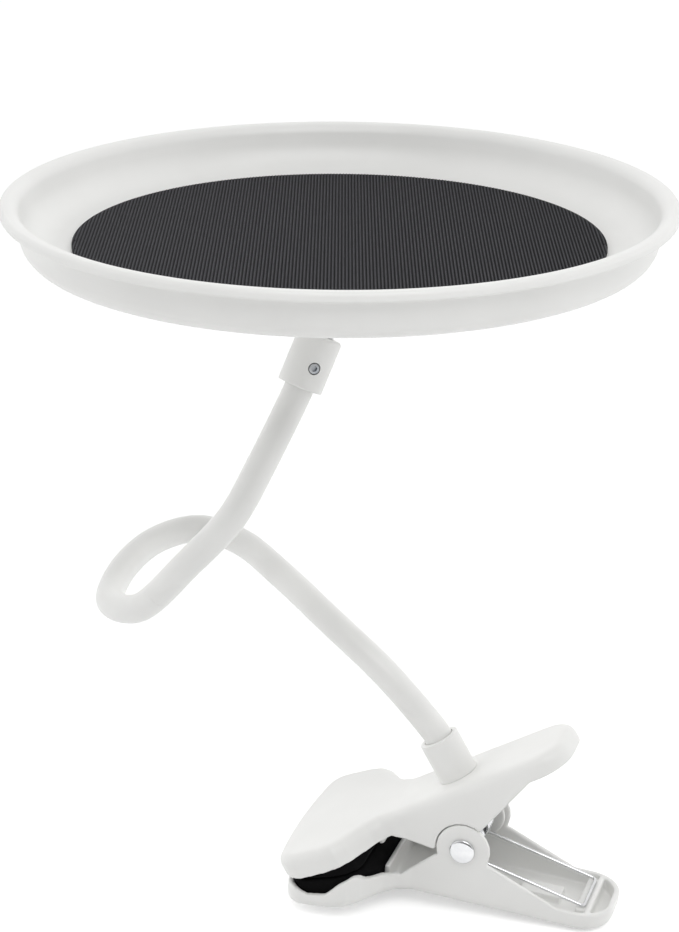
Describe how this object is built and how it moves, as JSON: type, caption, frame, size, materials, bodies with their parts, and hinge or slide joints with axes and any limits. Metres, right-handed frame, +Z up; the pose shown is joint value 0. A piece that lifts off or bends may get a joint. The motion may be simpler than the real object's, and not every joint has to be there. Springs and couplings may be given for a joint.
{
  "type": "clip-on food tray",
  "caption": "Round lipped tray with a non-slip mat on a bendable gooseneck, held by a sprung clip with foam-lined jaws.",
  "frame": {"origin": "middle of the clip's mouth, on the plane where the closed jaws meet, 50 mm from the pivot pin", "axes": "+X along the clip from the mouth to the handles, +Y along the pivot pin, +Z up, square to the tray"},
  "size_m": [0.24, 0.24, 0.2749],
  "materials": {
    "white_plastic": "moulded ABS, fine satin",
    "white_sleeve": "smooth extruded sleeve, satin",
    "soft_alloy": "drawn, dull",
    "black_mat": "fine ribbed mesh, matt",
    "black_foam": "closed-cell foam, matt",
    "chrome": "bright plated",
    "zinc_steel": "zinc plated"
  },
  "bodies": {
    "clip": {"upper_jaw": "white_plastic", "upper_grip_pad": "black_foam", "pivot_pin": "chrome", "pin_cap": "chrome", "torsion_spring": "chrome", "lower_collar": "white_plastic", "collar_bolt": "zinc_steel", "lower_ferrule": "zinc_steel", "neck_core_1": "soft_alloy"},
    "lower_jaw": {"lower_jaw": "white_plastic", "lower_grip_pad": "black_foam"},
    "neck_link_2": {"neck_core_2": "soft_alloy", "neck_sleeve_1": "white_sleeve"},
    "neck_link_3": {"neck_core_3": "soft_alloy", "neck_sleeve_2": "white_sleeve"},
    "neck_link_4": {"neck_core_4": "soft_alloy", "neck_sleeve_3": "white_sleeve"},
    "neck_top": {"neck_core_5": "soft_alloy", "neck_sleeve_4": "white_sleeve", "upper_ferrule": "zinc_steel", "upper_collar": "white_plastic", "collar_set_screw": "zinc_steel", "ball_stud": "chrome"},
    "ball_socket": {"ball_socket": "white_plastic", "socket_nut": "white_plastic", "tray_screw": "zinc_steel", "tray_washer": "zinc_steel"},
    "tray": {"tray_dish": "white_plastic", "non_slip_mat": "black_mat"}
  },
  "joints": [
    {"name": "jaw_hinge", "type": "hinge", "parent": "clip", "child": "lower_jaw", "pos_m": [0.04874, 0, 0.01116], "axis": [0, -1, 0], "range_deg": [0, 45], "stiffness_Nm_per_rad": 0.9, "springref_deg": -51.57, "deforming": ["torsion_spring"]},
    {"name": "neck_bend_1", "type": "hinge", "parent": "clip", "child": "neck_link_2", "pos_m": [-0.01213, 0.00526, 0.08859], "axis": [0.5151, 0.8571, 0], "range_deg": [-18, 18], "deforming": ["neck_sleeve_1"]},
    {"name": "neck_bend_2", "type": "hinge", "parent": "neck_link_2", "child": "neck_link_3", "pos_m": [-0.07389, 0.0442, 0.10263], "axis": [0.1, -0.08, 0.9918], "range_deg": [-18, 18], "deforming": ["neck_sleeve_2"]},
    {"name": "neck_bend_3", "type": "hinge", "parent": "neck_link_3", "child": "neck_link_4", "pos_m": [-0.09189, -0.018, 0.09413], "axis": [0.9511, 0.309, 0], "range_deg": [-18, 18], "deforming": ["neck_sleeve_3"]},
    {"name": "neck_bend_4", "type": "hinge", "parent": "neck_link_4", "child": "neck_top", "pos_m": [-0.04011, -0.04182, 0.13761], "axis": [0.09, 0.9909, 0.1], "range_deg": [-18, 18], "deforming": ["neck_sleeve_4"]},
    {"name": "tray_tilt", "type": "hinge", "parent": "neck_top", "child": "ball_socket", "pos_m": [-0.00496, -0.0068, 0.22376], "axis": [-0.766, 0.6428, 0], "range_deg": [-6, 58]},
    {"name": "tray_swivel", "type": "hinge", "parent": "ball_socket", "child": "tray", "pos_m": [-0.00496, -0.0068, 0.22376], "axis": [0, 0, 1], "continuous": true}
  ]
}
